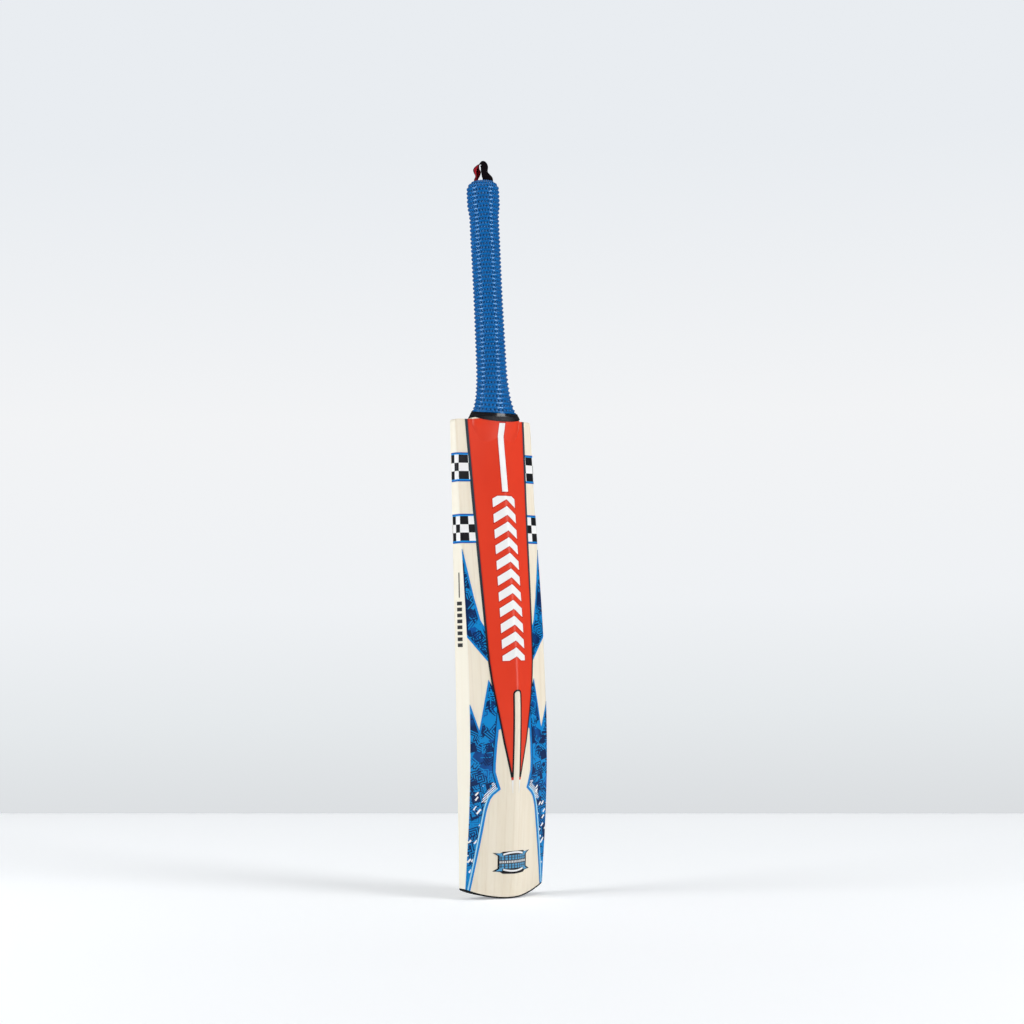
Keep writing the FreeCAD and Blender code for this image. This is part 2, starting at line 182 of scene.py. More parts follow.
class Surface:
    """A material in the making. x, y and z are the place on the bat, in millimetres."""

    def __init__(self, name, roughness, coat=0.0, coat_roughness=0.1, specular=0.5, sheen=0.0):
        self.material = bpy.data.materials.new(name)
        self.material.use_nodes = True
        self.tree = self.material.node_tree
        self.shader = self.tree.nodes["Principled BSDF"]
        self.shader.inputs["Roughness"].default_value = roughness
        self.shader.inputs["Coat Weight"].default_value = coat
        self.shader.inputs["Coat Roughness"].default_value = coat_roughness
        self.shader.inputs["Specular IOR Level"].default_value = specular
        self.shader.inputs["Sheen Weight"].default_value = sheen
        self.place = self.tree.nodes.new("ShaderNodeTexCoord").outputs["Object"]
        split = self.tree.nodes.new("ShaderNodeSeparateXYZ")
        feed(self.tree, self.place, split.inputs[0])
        self.x, self.y, self.z = (Field(self.tree, s) / MM for s in split.outputs)

    def point(self, x, y, z):
        node = self.tree.nodes.new("ShaderNodeCombineXYZ")
        for value, socket in zip((x, y, z), node.inputs):
            feed(self.tree, value, socket)
        return node.outputs[0]

    def scaled(self, scale, offset=(0.0, 0.0, 0.0)):
        """The place, stretched to `scale` repeats a metre along each axis."""
        node = self.tree.nodes.new("ShaderNodeMapping")
        feed(self.tree, self.place, node.inputs["Vector"])
        node.inputs["Scale"].default_value = scale
        node.inputs["Location"].default_value = offset
        return node.outputs[0]

    def noise(self, scale, detail=2.0, offset=(0.0, 0.0, 0.0)):
        node = self.tree.nodes.new("ShaderNodeTexNoise")
        feed(self.tree, self.scaled(scale, offset), node.inputs["Vector"])
        node.inputs["Scale"].default_value = 1.0
        node.inputs["Detail"].default_value = detail
        return Field(self.tree, node.outputs[0])

    def cells(self, place, scale, metric="EUCLIDEAN", feature="F1"):
        """Distance to the nearest of many scattered points, and a random number for each of them."""
        node = self.tree.nodes.new("ShaderNodeTexVoronoi")
        node.distance = metric
        node.feature = feature
        feed(self.tree, place, node.inputs["Vector"])
        node.inputs["Scale"].default_value = scale
        split = self.tree.nodes.new("ShaderNodeSeparateColor")
        feed(self.tree, node.outputs["Color"], split.inputs[0])
        return Field(self.tree, node.outputs["Distance"]), Field(self.tree, split.outputs[0])

    def attribute(self, name):
        """A number written to the mesh, point by point."""
        node = self.tree.nodes.new("ShaderNodeAttribute")
        node.attribute_name = name
        return Field(self.tree, node.outputs["Fac"])

    def blend(self, share, low, high):
        """low where share is 0, high where it is 1. Both are colours."""
        node = self.tree.nodes.new("ShaderNodeMix")
        node.data_type = "RGBA"
        feed(self.tree, share, node.inputs["Factor"])
        feed(self.tree, low, node.inputs[6])
        feed(self.tree, high, node.inputs[7])
        return node.outputs[2]

    def paint(self, colour):
        feed(self.tree, colour, self.shader.inputs["Base Color"])

    def gloss(self, roughness):
        feed(self.tree, roughness, self.shader.inputs["Roughness"])

    def relief(self, height, depth):
        """A fine relief: `height` runs from 0 to 1, and `depth` is its size in metres."""
        node = self.tree.nodes.new("ShaderNodeBump")
        node.inputs["Distance"].default_value = depth
        feed(self.tree, height, node.inputs["Height"])
        feed(self.tree, node.outputs[0], self.shader.inputs["Normal"])

    def inside(self, outline, x, z, combine):
        """Distance inside a run of straight edges that has the shape on its right-hand side.

        combine is MINIMUM where the run bulges out of the shape, and MAXIMUM where it dips in.
        """
        nearest = None
        for (ax, az), (bx, bz) in zip(outline, outline[1:]):
            length = math.hypot(bx - ax, bz - az)
            right_x = (bz - az) / length
            right_z = -(bx - ax) / length
            distance = x * right_x + z * right_z - (ax * right_x + az * right_z)
            nearest = distance if nearest is None else nearest.maths(combine, distance)
        return nearest


# ---- Materials of the blade -----------------------------------------------------------
EDGE_START = 53.2          # from here outwards the blade's thick edge is painted paler, as painted light


def willow():
    """Pale willow: straight growth lines some 9 mm apart, and fine fibres along the blade."""
    wood = Surface("willow", roughness=0.46, specular=0.25)
    wander = wood.noise((9.0, 9.0, 2.2), detail=2.0)
    rings = ((wood.x + wander * 9.0) / 9.4 + wood.y * 0.012).part()
    ring = (abs(rings - 0.5) * 2.0).spread(0.70, 1.0)
    fibres = wood.noise((620.0, 620.0, 7.0), detail=3.0)
    streaks = wood.noise((150.0, 150.0, 3.0), detail=3.0, offset=(3.1, 1.7, 0.4))
    clouds = wood.noise((14.0, 14.0, 3.5), detail=2.0, offset=(8.0, 2.0, 5.0))
    colour = wood.blend(streaks.spread(0.40, 0.75) * 0.8, WILLOW_PALE, WILLOW_MID)
    colour = wood.blend(ring * fibres.spread(0.2, 0.8) * 0.24, colour, WILLOW_DARK)
    colour = wood.blend(fibres.spread(0.55, 0.85) * 0.16, colour, WILLOW_DARK)
    colour = wood.blend(clouds.spread(0.45, 0.75) * 0.25, colour, WILLOW_MID)
    # painted light: the thick edges are painted paler than the flanks
    wood.paint(wood.blend(abs(wood.x).above(EDGE_START) * 0.7, colour, WILLOW_EDGE_PAINTED_LIGHT))
    wood.gloss(fibres * 0.16 + 0.38)
    wood.relief(fibres * 0.6 + ring * 0.4, 0.00006)
    return wood.material


def toe_rubber():
    rubber = Surface("toe_rubber", roughness=0.6, specular=0.1)
    grain = rubber.noise((900.0, 900.0, 900.0), detail=3.0)
    scuffs = rubber.noise((60.0, 240.0, 240.0), detail=4.0)
    rubber.paint(rubber.blend(scuffs.spread(0.5, 0.8) * 0.5, BLACK, (0.035, 0.035, 0.037)))
    rubber.gloss(scuffs * 0.3 + 0.42)
    rubber.relief(grain, 0.00005)
    return rubber.material


def orange_peel(vinyl, depth=0.00002):
    """The faint waviness that a pressed-on label has."""
    vinyl.relief(vinyl.noise((260.0, 260.0, 160.0), detail=2.0), depth)


SPINE_EDGE = ((41.8, 560.0), (38.9, 470.0), (35.0, 355.0), (32.6, 290.0), (31.4, 272.0), (28.9, 250.0),
              (25.0, 226.0), (16.2, 180.0), (5.6, 134.0))
SLOT_HALF_WIDTH = 4.0
SLOT_BEND = 234.0          # height of the centre of the slot's round top
SLOT_BORDER = 1.9
BORDER_TOP_WIDTH = 3.1
BORDER_FOOT_WIDTH = 2.0
TIP_TOP = 136.0            # the label's two tips are white below this
STRIPE = (470.0, 551.0, 4.1)                # bottom, top and half-width
CHEVRONS = (274.0, 457.0, 15.5)             # bottom, top and half-width
CHEVRON_COUNT = 10
CHEVRON_FILL = 0.56
CHEVRON_RISE = 0.62


def spine_artwork(vinyl):
    """White shapes on the ridge: one slim bar above a column of chevrons, outlined in dark red."""
    x = abs(vinyl.x)
    low, high, half_width = STRIPE
    bar = (x * -1 + half_width).least((vinyl.z - low) * 0.6).least((vinyl.z * -1 + high) * 0.6)
    low, high, half_width = CHEVRONS
    pitch = (high - low) / CHEVRON_COUNT
    rise = (vinyl.z - low + x * CHEVRON_RISE) / pitch
    wave = abs(rise.part() - 0.5)
    across = x * -1 + half_width
    along = (wave * -1 + CHEVRON_FILL / 2) * (pitch / math.hypot(1, CHEVRON_RISE))
    limits = (vinyl.z - low + 1.0).least(vinyl.z * -1 + high + 8.0)
    chevron = across.least(along).least(limits)
    return bar.most(chevron)


def spine_vinyl():
    """Red-orange, with a slate and black border and plain white artwork."""
    vinyl = Surface("spine_vinyl", roughness=0.28, specular=0.2)
    x = abs(vinyl.x)
    mottle = vinyl.noise((30.0, 30.0, 12.0), detail=3.0)
    red = vinyl.blend(mottle.spread(0.4, 0.7) * 0.35, RED, RED_DEEP)
    art = spine_artwork(vinyl)
    red = vinyl.blend(art.between(-0.9, 0.0), red, RED_SHADE)
    red = vinyl.blend(art.above(0.0), red, WHITE)
    edge = vinyl.inside(SPINE_EDGE, x, vinyl.z, "MINIMUM")
    up = (vinyl.z - SLOT_BEND).most(0.0)
    slot = (x * x + up * up).root() - SLOT_HALF_WIDTH
    height = vinyl.z.spread(230.0, 420.0)
    width = height * (BORDER_TOP_WIDTH - BORDER_FOOT_WIDTH) + BORDER_FOOT_WIDTH
    border_colour = vinyl.blend(height, BLACK, SLATE)
    has_border = vinyl.z.above(TIP_TOP + 3.0)
    near_edge = (edge - width).below(0.0) * has_border
    red = vinyl.blend((edge - width - 1.0).below(0.0) * 0.55, red, RED_SHADE)
    red = vinyl.blend(near_edge, red, border_colour)
    red = vinyl.blend(slot.below(SLOT_BORDER) * has_border, red, BLACK)
    red = vinyl.blend(vinyl.z.below(TIP_TOP), red, WHITE)
    vinyl.paint(red)
    orange_peel(vinyl)
    return vinyl.material


# bottom and top of the squares, where the blade's edge begins (y), and the x of the first columns
BANDS = {
    "upper": (484.6, 513.4, -0.2, (40.6, 52.6, 60.4, 67.5)),
    "lower": (412.6, 441.4, -4.7, (44.4, 55.8, 64.3, 71.0)),
}
BAND_LINE = 2.5


def band_vinyl(name):
    """Black and white squares that run on round the corner of the blade, between two blue lines."""
    low, high, corner_y, columns = BANDS[name]
    vinyl = Surface("band_vinyl_" + name, roughness=0.28, specular=0.2)
    along = abs(vinyl.x) + (vinyl.y - corner_y).most(0.0)
    column = along.above(columns[0])
    for limit in columns[1:]:
        column = column + along.above(limit)
    row = ((vinyl.z - low) * 3.0 / (high - low)).whole()
    smudge = vinyl.noise((220.0, 220.0, 220.0), detail=3.0)
    black = vinyl.blend(smudge.spread(0.45, 0.8) * 0.4, BLACK, SOOT)
    colour = vinyl.blend(odd(column + row), WHITE, black)
    outside = (vinyl.z - high).most(vinyl.z * -1 + low)
    colour = vinyl.blend(outside.above(0.0), colour, LINE_LIGHT_BLUE)
    colour = vinyl.blend(outside.above(BAND_LINE * 0.5), colour, LINE_DARK_BLUE)
    vinyl.paint(colour)
    orange_peel(vinyl)
    return vinyl.material


TAIL_TOP = 126.0
FLECK_TURN = 0.7
UPPER_INNER = ((30.0, 306.0), (37.4, 320.0), (43.6, 348.0), (50.4, 387.0), (53.4, 403.0))
UPPER_FOOT = ((53.4, 300.6), (32.0, 273.2))
NOTCH = ((31.8, 252.0), (43.3, 194.0), (53.4, 224.0))
STEP = ((18.0, 126.0), (21.0, 134.6), (24.3, 146.0), (24.4, 156.0), (23.2, 176.0), (21.6, 194.0))
TAIL = ((48.8, 10.0), (36.5, 84.0), (34.0, 100.0), (32.0, 108.0), (29.6, 115.0), (26.4, 119.4),
        (18.0, 126.0))


def slanted(vinyl, turn):
    """The place on the label, turned by an angle."""
    across = vinyl.x * math.cos(turn) + vinyl.z * math.sin(turn)
    along = vinyl.z * math.cos(turn) - vinyl.x * math.sin(turn)
    return across, along


def line_work(vinyl):
    """Fine nested line patterns in patches that face different ways, over a cloudy deep blue."""
    clouds = vinyl.noise((34.0, 34.0, 22.0), detail=3.0, offset=(2.0, 7.0, 1.0))
    colour = vinyl.blend(clouds.spread(0.46, 0.62), FLANK_NAVY, FLANK_BLUE)
    lower = vinyl.noise((60.0, 60.0, 40.0), detail=2.0, offset=(5.0, 3.0, 9.0)) * 60.0 + vinyl.z
    colour = vinyl.blend(lower.spread(160.0, 95.0) * 0.80, colour, FLANK_AZURE)
    # turn of the pattern, repeats a millimetre, pitch of its lines, their colour, patches left out
    layers = ((0.0, 0.050, 2.7, FLANK_AZURE, 0.50), (0.62, 0.062, 2.4, FLANK_NAVY, 0.42),
              (-0.70, 0.058, 2.5, FLANK_AZURE, 0.60), (1.10, 0.070, 2.3, FLANK_AZURE, 0.62),
              (0.25, 0.080, 2.6, FLANK_NAVY, 0.40))
    for turn, scale, pitch, tone, rarity in layers:
        across, along = slanted(vinyl, turn)
        distance, chance = vinyl.cells(vinyl.point(across, 0.0, along), scale, metric="CHEBYCHEV")
        lines = (distance / (scale * pitch)).part().above(0.52)
        colour = vinyl.blend(lines * chance.above(rarity), colour, tone)
    return colour


def flecks(vinyl):
    """Short white dashes that slant up the lower part of the flanks."""
    across, along = slanted(vinyl, -FLECK_TURN)
    distance, chance = vinyl.cells(vinyl.point(across * 2.4, 0.0, along), 0.140, metric="CHEBYCHEV")
    return distance.below(0.36) * chance.above(0.72) * vinyl.z.between(30.0, 131.0)


def hatching(vinyl):
    """Fine white strokes beside the point where the label comes nearest to the ridge."""
    _, along = slanted(vinyl, FLECK_TURN)
    return (along / 2.0).part().above(0.5) * vinyl.z.between(112.0, 134.0)


def flank_vinyl(name):
    """Deep blue with fine line work, and borders of light blue."""
    vinyl = Surface("flank_vinyl_" + name, roughness=0.28, specular=0.2)
    x = abs(vinyl.x)
    colour = line_work(vinyl)
    if name == "upper":
        inner = vinyl.inside(UPPER_INNER, x, vinyl.z, "MAXIMUM")
        foot = vinyl.inside(UPPER_FOOT, x, vinyl.z, "MINIMUM")
        colour = vinyl.blend(x.above(52.4), colour, FLANK_NAVY)
        border = either(inner.below(2.4), foot.below(2.0))
        colour = vinyl.blend(border, colour, BORDER_BLUE)
    else:
        step = vinyl.inside(STEP, x, vinyl.z, "MAXIMUM")
        tail = vinyl.inside(TAIL, x, vinyl.z, "MAXIMUM")
        notch = vinyl.inside(NOTCH, x, vinyl.z, "MAXIMUM")
        is_step = vinyl.z.above(TAIL_TOP)
        colour = vinyl.blend(flecks(vinyl) * tail.above(5.0), colour, WHITE)
        near_point = either(tail.between(4.2, 9.0), step.between(4.0, 8.0))
        colour = vinyl.blend(hatching(vinyl) * near_point, colour, WHITE)
        colour = vinyl.blend(step.between(3.0, 4.0) * is_step, colour, FLANK_NAVY)
        colour = vinyl.blend(tail.between(2.7, 4.3), colour, PALE_CYAN)
        colour = vinyl.blend(either(tail.below(2.7), step.below(3.0)), colour, BORDER_BLUE)
        colour = vinyl.blend(notch.below(2.0), colour, BORDER_BLUE)
    vinyl.paint(colour)
    orange_peel(vinyl)
    return vinyl.material


BADGE_MIDDLE = 42.5        # height of the middle of the badge above the toe


def badge_vinyl():
    """A dark plate with rows of plain blue blocks, a light arc over and under it, and four wings."""
    vinyl = Surface("badge_vinyl", roughness=0.28, specular=0.2)
    x = abs(vinyl.x)
    middle = abs(vinyl.z - BADGE_MIDDLE)
    on_plate = x.below(17.6) * middle.below(8.2)
    blocks = (vinyl.x / 4.0).part().between(0.16, 0.84)
    dashes = (vinyl.x / 2.0).part().between(0.25, 0.75)
    arc = middle + x * x * 0.011
    colour = vinyl.blend(on_plate, BLACK, BADGE_PLATE)
    colour = vinyl.blend(blocks * on_plate * middle.between(2.3, 7.4), colour, BADGE_BLUE)
    colour = vinyl.blend(middle.between(4.6, 5.2), colour, BADGE_PLATE)
    colour = vinyl.blend(dashes * on_plate * middle.below(1.2), colour, WHITE)
    colour = vinyl.blend(arc.between(9.6, 11.6) * x.below(13.5), colour, WHITE)
    wing_foot = x * 0.60 - 3.0
    wing = x.above(14.6) * (middle - wing_foot).above(0.0) * middle.below(10.2)
    colour = vinyl.blend(wing, colour, BADGE_BLUE)
    vinyl.paint(colour)
    orange_peel(vinyl)
    return vinyl.material


def edge_print():
    ink = Surface("edge_print", roughness=0.5)
    wear = ink.noise((700.0, 700.0, 300.0), detail=3.0)
    ink.paint(ink.blend(wear.spread(0.62, 0.75) * 0.5, BLACK, (0.05, 0.05, 0.05)))
    ink.relief(wear, 0.00002)
    return ink.material


# ---- Materials of the handle ----------------------------------------------------------
def cane():
    """Straw-coloured cane with dark pores drawn out along it."""
    wood = Surface("cane", roughness=0.5)
    pores = wood.noise((900.0, 900.0, 22.0), detail=3.0)
    bands = wood.noise((120.0, 120.0, 4.0), detail=3.0, offset=(4.0, 1.0, 2.0))
    colour = wood.blend(bands.spread(0.35, 0.7), CANE_PALE, CANE_MID)
    wood.paint(wood.blend(pores.spread(0.55, 0.75) * 0.7, colour, CANE_DARK))
    wood.relief(pores, 0.00008)
    return wood.material


def spring_rubber():
    rubber = Surface("spring_rubber", roughness=0.65)
    grain = rubber.noise((800.0, 800.0, 800.0), detail=3.0)
    rubber.paint(rubber.blend(grain.spread(0.4, 0.7), BLACK, SOOT))
    rubber.relief(grain, 0.00006)
    return rubber.material


def twine():
    """Waxed thread, wound at a slight slant so that each turn shows as a ridge."""
    thread = Surface("twine", roughness=0.6, sheen=0.2)
    turns = ((thread.z + thread.x * 0.03) / 0.9).part()
    ridge = abs(turns - 0.5) * -2.0 + 1.0
    fuzz = thread.noise((900.0, 900.0, 900.0), detail=4.0)
    colour = thread.blend(fuzz.spread(0.35, 0.7), TWINE_PALE, TWINE_MID)
    thread.paint(thread.blend(ridge.below(0.25) * 0.6, colour, TWINE_DARK))
    thread.relief(ridge + fuzz * 0.3, 0.0002)
    return thread.material


def collar_tape():
    """Glossy black tape with the faint ridges of its overlapping turns."""
    tape = Surface("collar_tape", roughness=0.13, specular=0.35)
    turns = ((tape.z + tape.x * 0.05) / 4.2).part()
    lip = turns.below(0.08)
    ripples = tape.noise((90.0, 90.0, 300.0), detail=2.0)
    tape.paint(tape.blend(ripples.spread(0.4, 0.8) * 0.4, BLACK, SOOT))
    tape.relief(ripples * 0.5 + lip * 0.5, 0.00004)
    return tape.material


def grip_rubber():
    """Saturated blue rubber, glossy in the grooves; painted shade darkens it, and it is duller, in the
    pits between the nubs and on the flanks of the rings.
    """
    rubber = Surface("grip_rubber", roughness=0.14)
    rubber.shader.inputs["Specular Tint"].default_value = GRIP_SHINE + (1.0,)
    pit = rubber.attribute("pit")
    feed(rubber.tree, pit * -0.55 + 0.65, rubber.shader.inputs["Specular IOR Level"])
    grain = rubber.noise((1500.0, 1500.0, 1500.0), detail=2.0)
    patches = rubber.noise((40.0, 40.0, 40.0), detail=3.0)
    colour = rubber.blend(patches.spread(0.4, 0.7) * 0.5, GRIP_BLUE, GRIP_BRIGHT)
    # painted shade: the blue darkens in the pits between the nubs and on the flanks of the rings
    rubber.paint(rubber.blend(pit, colour, GRIP_PAINTED_SHADE))
    rubber.gloss(grain * 0.06 + pit * 0.35 + 0.13)
    rubber.relief(grain, 0.000003)
    return rubber.material


def loop_ribbon():
    """Woven ribbon, black outside; its inner side is red with a black line down the middle."""
    ribbon = Surface("loop_ribbon", roughness=0.9, specular=0.05)
    across = ribbon.attribute("across")
    along = ribbon.attribute("along")
    inner = ribbon.attribute("inner")
    warp = abs((across * 9.0).part() - 0.5)
    weft = abs((along / 0.45).part() - 0.5)
    fuzz = ribbon.noise((2500.0, 2500.0, 2500.0), detail=3.0)
    colour = ribbon.blend(fuzz.spread(0.4, 0.7) * 0.6, RIBBON_BLACK, RIBBON_LINT)
    stripe = inner.above(0.5) * abs(across).between(0.18, 0.86)
    ribbon.paint(ribbon.blend(stripe, colour, RIBBON_RED))
    ribbon.relief((warp + weft) * 0.6 + fuzz * 0.4, 0.00025)
    return ribbon.material


# ---- Pieces ---------------------------------------------------------------------------
def new_mesh(name, points, faces, material):
    mesh = bpy.data.meshes.new(name)
    mesh.from_pydata([tuple(p) for p in points], [], faces)
    mesh.update()
    piece = bpy.data.objects.new(name, mesh)
    bpy.context.scene.collection.objects.link(piece)
    mesh.materials.append(material)
    mesh.polygons.foreach_set("use_smooth", [True] * len(mesh.polygons))
    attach(piece, "root")
    return piece


def write_attribute(mesh, name, values):
    attribute = mesh.attributes.new(name, "FLOAT", "POINT")
    attribute.data.foreach_set("value", values)


def handle_point(x, front, height):
    """A place in the handle's own frame, with heights measured from the shoulders."""
    return HANDLE_FOOT + HANDLE_RIGHT * x + HANDLE_FRONT * front + HANDLE_UP * height


BUTT_MIDDLE = 269.5 * MM     # height of the butt mount along the handle
HANDLE_FOOT = Vector(BUTT["pos_m"]) - HANDLE_UP * BUTT_MIDDLE
BUTT_RADIUS = BUTT["dims"]["r_mm"] * MM
GRIP_LOW = 9.4 * MM          # height of the grip's foot on the handle's axis
FOOT_SLOPE = 0.22            # the foot runs down towards the back, and the lowest ribs with it
FOOT_FADE = 45.0 * MM
GRIP_HIGH = 290.0 * MM
GRIP_ROUNDING = 12.0 * MM
GRIP_THICKNESS = 2.2 * MM
BUTT_HOLE = 11.8 * MM
LIP_HEIGHT = 1.3 * MM        # the plain lip at the foot of the grip
RIB_PITCH = 5.05 * MM
GROOVE_DEPTH = 1.65 * MM     # of the smooth grooves between the rings of nubs
GAP_DEPTH = 1.6 * MM         # of the gaps between the nubs of a ring
NUBS_ROUND = 32
COLUMNS_PER_NUB = 6
ROWS_PER_RIB = 8
PROBE_STEP = 3.0 * MM
DOME_ROWS = 24
DOME_FLATTENING = 0.4        # share of the relief that is lost by the rim of the hole
INSIDE_ROWS = 30
# painted shade given to the inside of the sleeve
INSIDE_SHADE = 0.3
LIP_DEPTH = 0.1 * MM         # how far the plain lip lies under the crests
PROBE_REACH = 60.0 * MM      # rays start this far from the handle's axis
PROBE_INSET = 0.1 * MM       # and this far inside the sleeve's two ends


class GripShape:
    """The half-width and half-depth of the CAD grip's outside at any height along the handle."""

    def __init__(self):
        cad = NODES["rubber_grip"].data
        tree = BVHTree.FromPolygons([v.co for v in cad.vertices], [p.vertices for p in cad.polygons])
        top = GRIP_HIGH - GRIP_ROUNDING
        self.count = int((top - GRIP_LOW) / PROBE_STEP)
        self.step = (top - GRIP_LOW) / self.count
        self.sizes = []
        for n in range(self.count + 1):
            inset = min(max(n * self.step, PROBE_INSET), top - GRIP_LOW - PROBE_INSET)
            centre = HANDLE_FOOT + HANDLE_UP * (GRIP_LOW + inset)
            self.sizes.append([self.reach(tree, centre, way) for way in (HANDLE_RIGHT, -HANDLE_FRONT)])

    def reach(self, tree, centre, way):
        hit = tree.ray_cast(centre + way * PROBE_REACH, -way)
        return (hit[0] - centre).length

    def at(self, height):
        place = min((height - GRIP_LOW) / self.step, self.count - 1e-6)
        n = int(place)
        share = place - n
        return [low + (high - low) * share for low, high in zip(self.sizes[n], self.sizes[n + 1])]


def rib_relief(along, angle):
    """How deep the rubber lies under the crests, and how much painted shade darkens it there, from 0 to 1.
    """
    if along < LIP_HEIGHT:
        return LIP_DEPTH, 0.0
    turn = (along - LIP_HEIGHT) / RIB_PITCH
    rib = int(turn)
    crest = math.sin(math.pi * (turn - rib)) ** 4
    shift = math.pi if rib % 2 else 0.0
    gap = max(math.cos(NUBS_ROUND * angle + shift), 0.0)
    depth = (1 - crest) * GROOVE_DEPTH + GAP_DEPTH * gap * crest
    # painted shade: darkest in the gaps between the nubs, and a little on the flanks of each ring
    painted_shade = 1.2 * gap * crest + crest * (1 - crest)
    return depth, min(painted_shade, 1.0)


def grip_point(shape, along, angle, depth):
    """A place `depth` under the grip's outside; rows near the foot lean with it."""
    level = GRIP_LOW + along
    lean = FOOT_SLOPE * max(1 - along / FOOT_FADE, 0.0) * math.sin(angle)
    height = level + lean * shape.at(level)[1]
    half_width, half_depth = shape.at(height)
    across = (half_width - depth) * math.cos(angle)
    front = (half_depth - depth) * math.sin(angle)
    return handle_point(across, front, height)


def ring(half_width, half_depth, height, angles):
    return [handle_point(half_width * math.cos(a), half_depth * math.sin(a), height) for a in angles]


def make_grip():
    """One ribbed rubber sleeve that folds over the top of the cane."""
    shape = GripShape()
    columns = NUBS_ROUND * COLUMNS_PER_NUB
    angles = [2 * math.pi * n / columns for n in range(columns)]
    side_top = GRIP_HIGH - GRIP_ROUNDING
    side_rows = int((side_top - GRIP_LOW) / RIB_PITCH * ROWS_PER_RIB)
    points, painted_pit_shades = [], []
    for n in range(side_rows):
        along = (side_top - GRIP_LOW) * n / side_rows
        for angle in angles:
            depth, pit = rib_relief(along, angle)
            points.append(grip_point(shape, along, angle, depth))
            painted_pit_shades.append(pit)
    # The dome at the top, as far as the hole
    bend_radius = BUTT_RADIUS - GRIP_ROUNDING
    last_turn = math.acos((BUTT_HOLE - bend_radius) / GRIP_ROUNDING)
    for n in range(DOME_ROWS + 1):
        turn = last_turn * n / DOME_ROWS
        along = side_top - GRIP_LOW + GRIP_ROUNDING * turn
        for angle in angles:
            depth, pit = rib_relief(along, angle)
            out = GRIP_ROUNDING - depth * (1 - DOME_FLATTENING * n / DOME_ROWS)
            radius = bend_radius + out * math.cos(turn)
            points.extend(ring(radius, radius, side_top + out * math.sin(turn), [angle]))
            painted_pit_shades.append(pit)
    # The inside: the dome from the hole outwards, then down the cane
    inner_rounding = GRIP_ROUNDING - GRIP_THICKNESS
    first_turn = math.acos((BUTT_HOLE - bend_radius) / inner_rounding)
    for n in range(DOME_ROWS // 2 + 1):
        turn = first_turn * (1 - 2 * n / DOME_ROWS)
        radius = bend_radius + inner_rounding * math.cos(turn)
        points.extend(ring(radius, radius, side_top + inner_rounding * math.sin(turn), angles))
    for n in range(1, INSIDE_ROWS + 1):
        along = (side_top - GRIP_LOW) * (1 - n / INSIDE_ROWS)
        points.extend([grip_point(shape, along, angle, GRIP_THICKNESS) for angle in angles])
    # the inside of the sleeve gets an even painted shade
    painted_pit_shades.extend([INSIDE_SHADE] * (len(points) - len(painted_pit_shades)))
    faces = ring_faces(len(points) // columns, columns, closed=True)
    piece = new_mesh("ribbed_grip", points, faces, grip_rubber())
    write_attribute(piece.data, "pit", painted_pit_shades)
    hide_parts("rubber_grip")


def ring_faces(rows, columns, closed):
    """Quads between rings of points, each ring joined to the next, and the last to the first if closed."""
    faces = []
    for row in range(rows if closed else rows - 1):
        above = (row + 1) % rows
        for column in range(columns):
            beside = (column + 1) % columns
            faces.append((row * columns + column, row * columns + beside,
                          above * columns + beside, above * columns + column))
    return faces


# centre line of the ribbon and the direction across it, in millimetres: along the loop's plane,
# through that plane, and up the handle
LOOP_TURN = math.radians(34.4)   # the loop's plane is turned this far about the handle
LOOP_ROUTE = (
    ((-8.6, 0.0, 286.4), (-0.25, -0.97, 0.00)),
    ((-8.6, 0.0, 291.0), (-0.22, -0.97, 0.00)),
    ((-7.0, 0.0, 295.0), (-0.22, -0.97, 0.00)),
    ((-6.3, 0.0, 299.5), (-0.60, -0.80, 0.00)),
    ((-5.9, 0.0, 303.5), (-0.74, -0.67, 0.00)),
    ((-4.6, 0.0, 308.0), (-0.30, -0.95, -0.10)),
    ((-2.0, 0.0, 311.3), (-0.20, -0.80, -0.50)),
    ((1.2, 0.0, 312.2), (-0.45, -0.60, -0.66)),
    ((3.4, 0.0, 308.6), (-0.60, -0.60, -0.45)),
    ((3.4, 0.0, 302.6), (-0.66, -0.75, 0.00)),
    ((5.0, 0.0, 297.0), (-0.88, -0.47, 0.00)),
    ((7.0, 0.0, 291.6), (-1.00, -0.10, 0.00)),
    ((4.8, 0.0, 286.4), (-1.00, 0.00, 0.00)),
)
RIBBON_WIDTH = 12.0 * MM
RIBBON_THICKNESS = 0.9 * MM
RIBBON_THINNING = 0.35       # share of the thickness that is lost at the ribbon's two borders
RIBBON_CURL = 0.5 * MM
RIBBON_STEPS = 12
RIBBON_ACROSS = 10


def smooth_path(points, steps):
    """Catmull-Rom: a smooth run through the points, with `steps` pieces from each to the next."""
    padded = [points[0] * 2 - points[1]] + list(points) + [points[-1] * 2 - points[-2]]
    path = []
    for a, b, c, d in zip(padded, padded[1:], padded[2:], padded[3:]):
        for n in range(steps):
            t = n / steps
            path.append(0.5 * (b * 2 + (c - a) * t + (a * 2 - b * 5 + c * 4 - d) * t ** 2
                               + (b * 3 - a - c * 3 + d) * t ** 3))
    path.append(points[-1])
    return path


